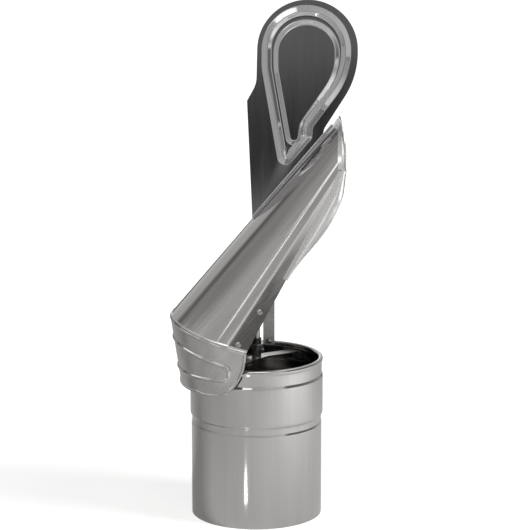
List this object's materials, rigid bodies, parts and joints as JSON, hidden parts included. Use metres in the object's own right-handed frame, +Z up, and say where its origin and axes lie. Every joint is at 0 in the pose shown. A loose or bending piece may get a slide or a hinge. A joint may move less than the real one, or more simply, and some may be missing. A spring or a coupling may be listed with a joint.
{
  "type": "chimney cowl",
  "caption": "Turning chimney cowl: a curved hood with a flared mouth and a wind fin swings on an axle over a short round flue pipe.",
  "frame": {"origin": "centre of the flue pipe's lower end, on the hood's turning axis", "axes": "+Z up along the flue pipe, +X from the back of the hood towards its mouth, +Y across it"},
  "size_m": [0.2126, 0.173, 0.5912],
  "materials": {
    "pipe_sheet": "satin polished stainless sheet",
    "hood_sheet": "bright rolled stainless sheet, streaked along the bend",
    "fin_sheet": "bright rolled stainless sheet with pressed beads",
    "strap_steel": "sheared stainless strip",
    "turned_steel": "turned stainless bar",
    "zinc_steel": "zinc plated steel",
    "spring_steel": "oiled spring steel",
    "rivet_steel": "stainless blind rivet",
    "ball_steel": "ground and polished bearing ball",
    "bearing_bronze": "turned bearing bronze"
  },
  "bodies": {
    "base": {"flue_pipe": "pipe_sheet", "bridge_strap": "strap_steel", "bridge_rivets": "rivet_steel", "axle_sleeve": "turned_steel", "axle_set_screw": "zinc_steel", "axle_rod": "turned_steel", "axle_circlip": "spring_steel"},
    "hood": {"hood_channel": "hood_sheet", "mouth_lip": "hood_sheet", "hood_skirt": "hood_sheet", "seam_rivets": "rivet_steel", "wind_fin": "fin_sheet", "fin_rivets": "rivet_steel", "cross_strap": "strap_steel", "cross_strap_rivets": "rivet_steel", "bearing_cup": "turned_steel", "thrust_ball": "ball_steel", "cup_washer": "zinc_steel", "cup_nut": "zinc_steel", "hanger_post": "strap_steel", "lower_bearing_plate": "strap_steel", "lower_bearing_bush": "bearing_bronze", "post_rivets": "rivet_steel"}
  },
  "joints": [
    {"name": "hood_turn", "type": "hinge", "parent": "base", "child": "hood", "pos_m": [0, 0, 0.2], "axis": [0, 0, 1], "continuous": true}
  ]
}
